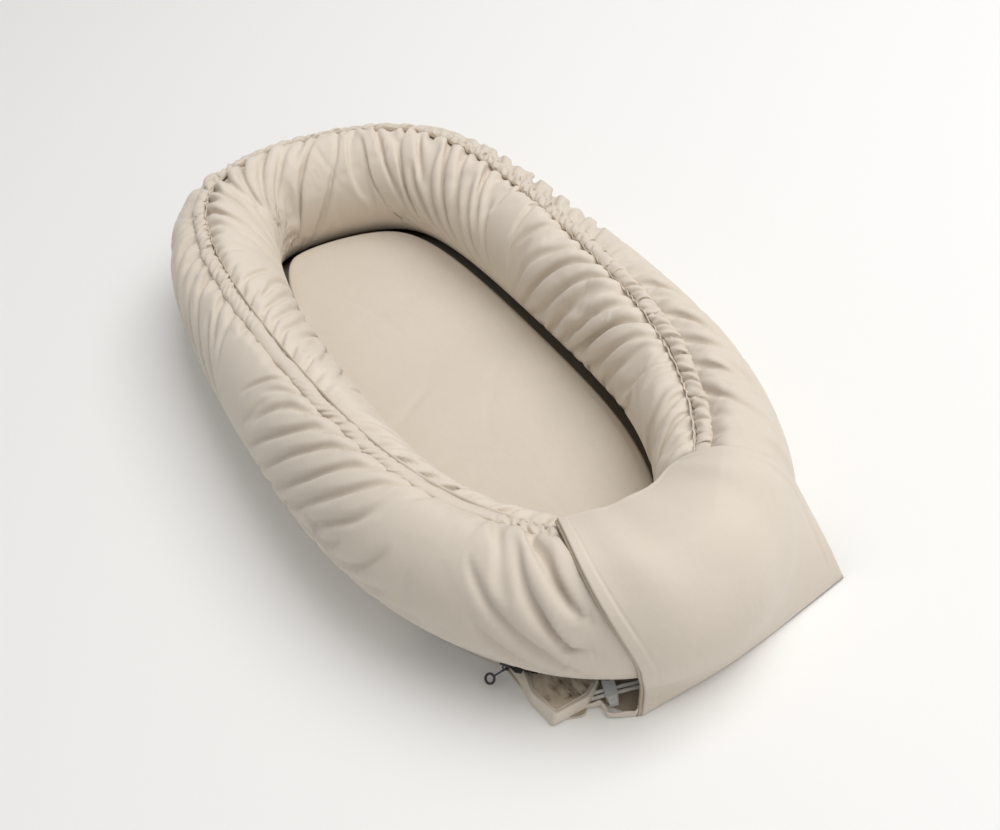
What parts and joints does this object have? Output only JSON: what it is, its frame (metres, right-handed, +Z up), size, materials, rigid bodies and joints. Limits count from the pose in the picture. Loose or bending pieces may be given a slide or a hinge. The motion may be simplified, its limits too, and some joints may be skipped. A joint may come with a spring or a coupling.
{
  "type": "infant lounger",
  "caption": "Oval infant lounger: a stuffed ring in a gathered cover with a drawcord ridge, a flat mattress pad inside it, a fold-over foot flap and a zipped base opening.",
  "frame": {"origin": "on the underside of the base, at the middle of the ring's plan", "axes": "+Z up; +Y along the lounger to the head end; +X to the side away from the open zip"},
  "size_m": [0.4473, 0.9035, 0.1562],
  "materials": {
    "sateen": "smooth sand cotton sateen",
    "lining": "plain sand cotton",
    "ticking": "white nonwoven ticking with fibre filling",
    "cord": "white braided cotton cord",
    "zip_tape": "black woven zip tape",
    "zip_teeth": "black moulded teeth",
    "zip_metal": "dark lacquered metal",
    "lock_plastic": "light grey moulded plastic",
    "spring_steel": "spring wire"
  },
  "bodies": {
    "ring": {"bolster_insert": "ticking", "cover_outer_panel": "sateen", "cover_inner_panel": "sateen", "drawcord_casing": "sateen", "drawcord": "cord", "base_bottom_panel": "sateen", "base_lining": "lining", "base_edge_band": "sateen", "platform_panel": "lining", "zip_tape_cover_side": "zip_tape", "zip_tape_base_side": "zip_tape", "zip_teeth_cover_side": "zip_teeth", "zip_teeth_base_side": "zip_teeth", "zip_stop_cover_side": "zip_metal", "zip_stop_base_side": "zip_metal", "zip_end_stop": "zip_metal"},
    "mattress": {"mattress_core": "ticking", "mattress_cover_top": "sateen", "mattress_cover_bottom": "sateen"},
    "flap": {"flap_face": "sateen", "flap_lining": "lining"},
    "slider": {"zip_slider": "zip_metal"},
    "puller": {"zip_puller": "zip_metal"},
    "cord_lock": {"cord_lock_body": "lock_plastic", "cord_lock_spring": "spring_steel"},
    "lock_button": {"cord_lock_button": "lock_plastic"}
  },
  "joints": [
    {"name": "mattress_lift", "type": "slide", "parent": "ring", "child": "mattress", "axis": [0, 0, 1], "range_m": [0, 0.16]},
    {"name": "flap_fold", "type": "hinge", "parent": "ring", "child": "flap", "pos_m": [0.037, -0.4305, 0.0002], "axis": [1, 0, 0], "range_deg": [0, 60]},
    {"name": "zip_slide", "type": "slide", "parent": "ring", "child": "slider", "axis": [-0.4285, 0.9035, 0.0011], "range_m": [0, 0.08]},
    {"name": "puller_swing", "type": "hinge", "parent": "slider", "child": "puller", "pos_m": [-0.14658, -0.32718, 0.01642], "axis": [-0.5726, -0.2725, 0.7732], "range_deg": [-8, 90]},
    {"name": "lock_slide", "type": "slide", "parent": "ring", "child": "cord_lock", "axis": [0.9294, -0.3691, 0], "range_m": [0, 0.02]},
    {"name": "lock_press", "type": "slide", "parent": "cord_lock", "child": "lock_button", "axis": [0.3691, 0.9294, 0], "range_m": [0, 0.0025], "stiffness_N_per_m": 600, "springref_m": -0.004}
  ]
}
